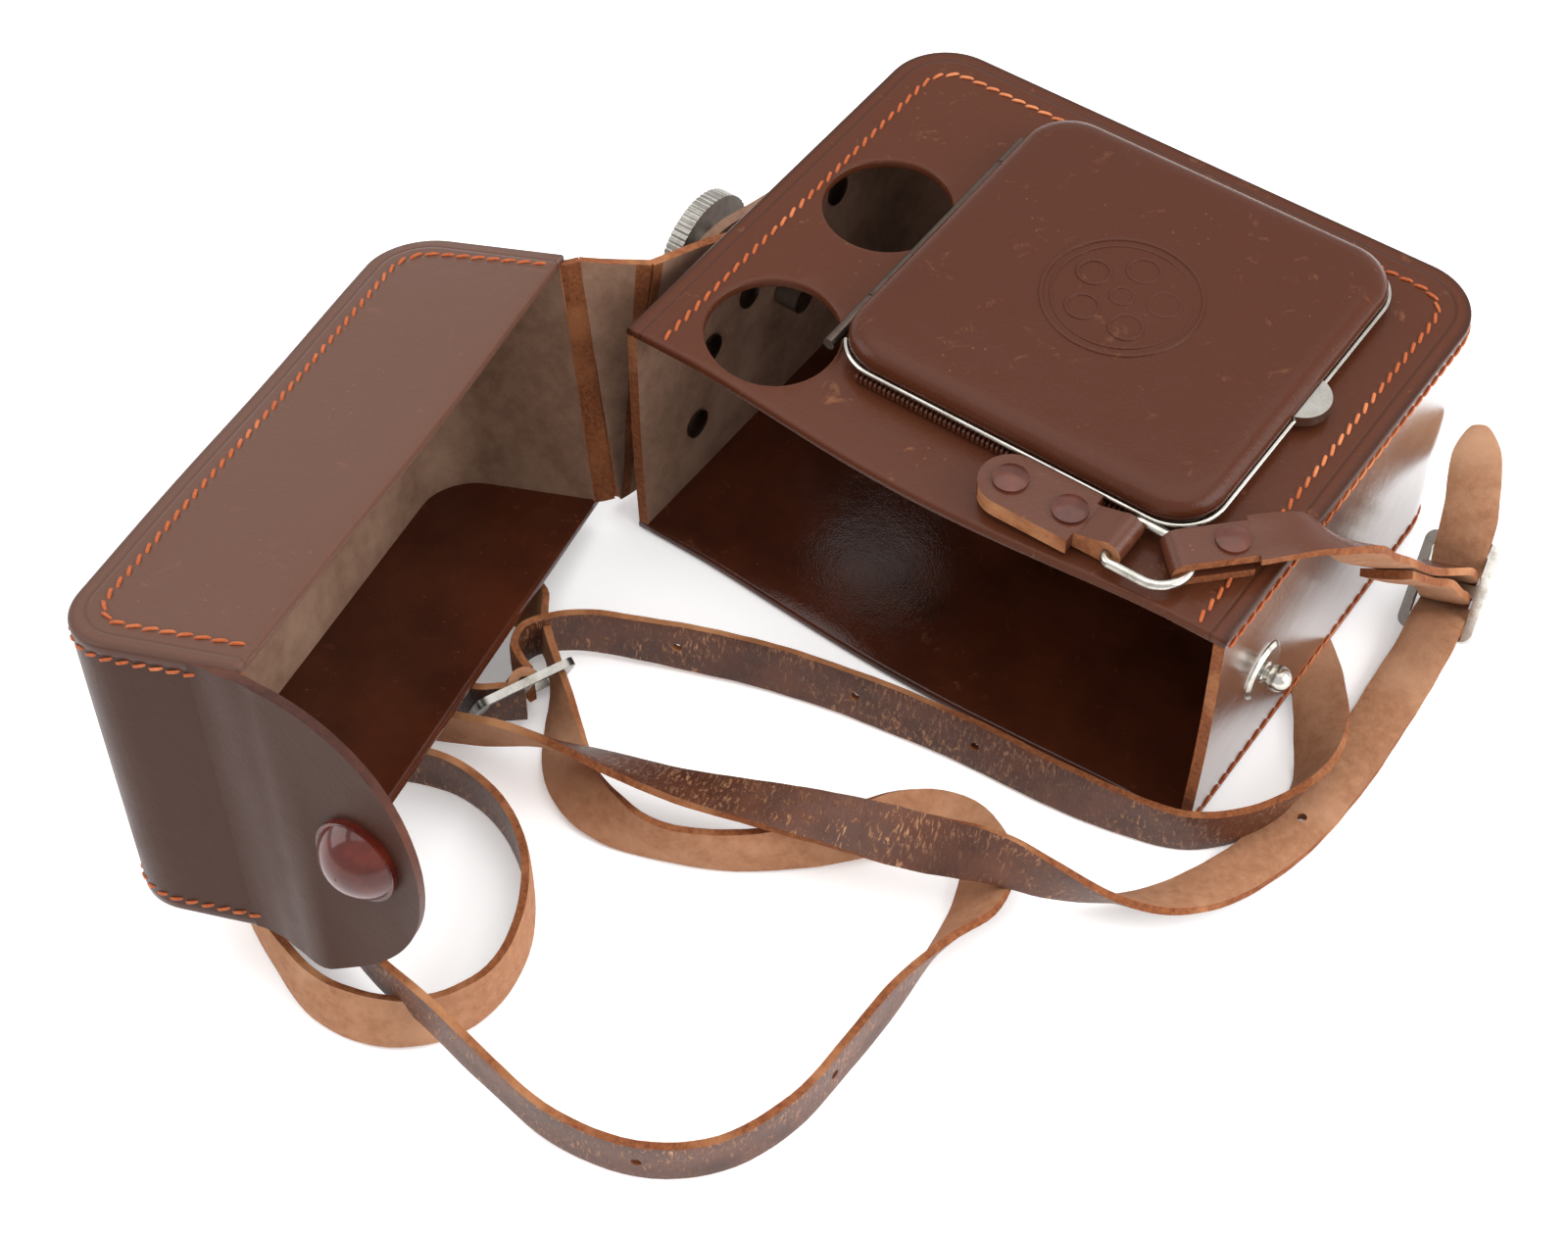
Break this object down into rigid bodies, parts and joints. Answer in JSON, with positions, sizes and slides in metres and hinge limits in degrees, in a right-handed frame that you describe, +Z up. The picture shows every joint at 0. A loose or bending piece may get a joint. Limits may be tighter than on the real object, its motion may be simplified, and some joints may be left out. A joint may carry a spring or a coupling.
{
  "type": "leather cine camera case",
  "caption": "Empty leather ever-ready case lying open: hinged lid with snap flap, padded metal-rimmed side door, round cut-outs, captive tripod screw and coiled neck strap with slide buckles.",
  "frame": {"origin": "lower left corner of the case's opening, on the surface the case lies on", "axes": "+X along the opening from the hinge side to the snap side, +Y from the opening into the case, +Z up"},
  "size_m": [0.2016, 0.2411, 0.0872],
  "materials": {
    "body_leather": "semi-gloss brown cowhide, scuffed",
    "lid_leather": "semi-gloss brown cowhide, paler",
    "inner_leather": "taupe suede lining",
    "hinge_leather": "skived brown leather with worn folds",
    "strap_leather": "smooth brown grain over pale flesh side",
    "door_leather": "embossed and padded brown leather",
    "nickel": "worn nickel plate",
    "snap_brass": "spring ring inside the snap",
    "cap_enamel": "glossy oxblood enamel on a pressed cap"
  },
  "bodies": {
    "case": {"top_panel": "body_leather", "bottom_panel": "body_leather", "case_band": "body_leather", "door_frame": "nickel", "door_hinge_pin": "nickel", "ring_tab": "strap_leather", "ring_tab_rivets": "nickel", "strap_ring": "nickel", "billet_loop": "strap_leather", "billet_rivet": "nickel", "billet": "strap_leather", "billet_return": "strap_leather", "buckle_long": "nickel", "billet_bend": "strap_leather", "long_strap": "strap_leather", "short_strap": "strap_leather", "buckle_short": "nickel", "short_bend": "strap_leather", "anchor_patch": "inner_leather", "anchor_rivet": "nickel", "press_stud": "nickel", "stud_backing": "nickel", "wall_rivets": "nickel", "hinge_tail": "hinge_leather", "base_leaf": "hinge_leather", "tripod_washer": "nickel"},
    "door": {"door_hinge_tube": "nickel", "door_pan": "nickel", "door_cover": "door_leather", "door_latch": "nickel"},
    "knob": {"tripod_screw": "nickel"},
    "spine": {"hinge_spine": "hinge_leather"},
    "strip": {"fold_strip": "hinge_leather"},
    "lid": {"lid_top_panel": "lid_leather", "lid_bottom_panel": "lid_leather", "lid_band": "lid_leather", "flap_root": "lid_leather"},
    "flap": {"flap": "lid_leather", "snap_cap": "cap_enamel", "snap_socket": "snap_brass"}
  },
  "joints": [
    {"name": "case_fold", "type": "hinge", "parent": "case", "child": "spine", "pos_m": [-0.0066, 0.00379, -0.0008], "axis": [0.0203, 0.2402, 0.9705], "range_deg": [-25, 63.56], "deforming": ["billet_loop", "billet_rivet", "billet", "billet_return", "billet_bend", "buckle_long", "long_strap", "short_strap", "short_bend", "buckle_short", "strap_ring"]},
    {"name": "hinge_shear", "type": "slide", "parent": "spine", "child": "strip", "axis": [0.0203, 0.2402, 0.9705], "range_m": [-0.0049, 0.002]},
    {"name": "lid_fold", "type": "hinge", "parent": "strip", "child": "lid", "pos_m": [-0.00895, -0.00222, 0.00512], "axis": [-0.2041, 0.1475, 0.9678], "range_deg": [-15, 12]},
    {"name": "flap_bend", "type": "hinge", "parent": "lid", "child": "flap", "pos_m": [0.01861, -0.12231, 0.05921], "axis": [0.2041, -0.1475, -0.9678], "range_deg": [-12, 33]},
    {"name": "door_hinge", "type": "hinge", "parent": "case", "child": "door", "pos_m": [0.034, 0.05, 0.0595], "axis": [0, -1, 0], "range_deg": [0, 100]},
    {"name": "knob_spin", "type": "hinge", "parent": "case", "child": "knob", "pos_m": [-0.01, 0.047, 0.031], "axis": [1, 0, 0], "continuous": true}
  ],
  "couplings": [
    {"joint": "hinge_shear", "follows": "case_fold", "m_per_rad": -0.0042059}
  ]
}
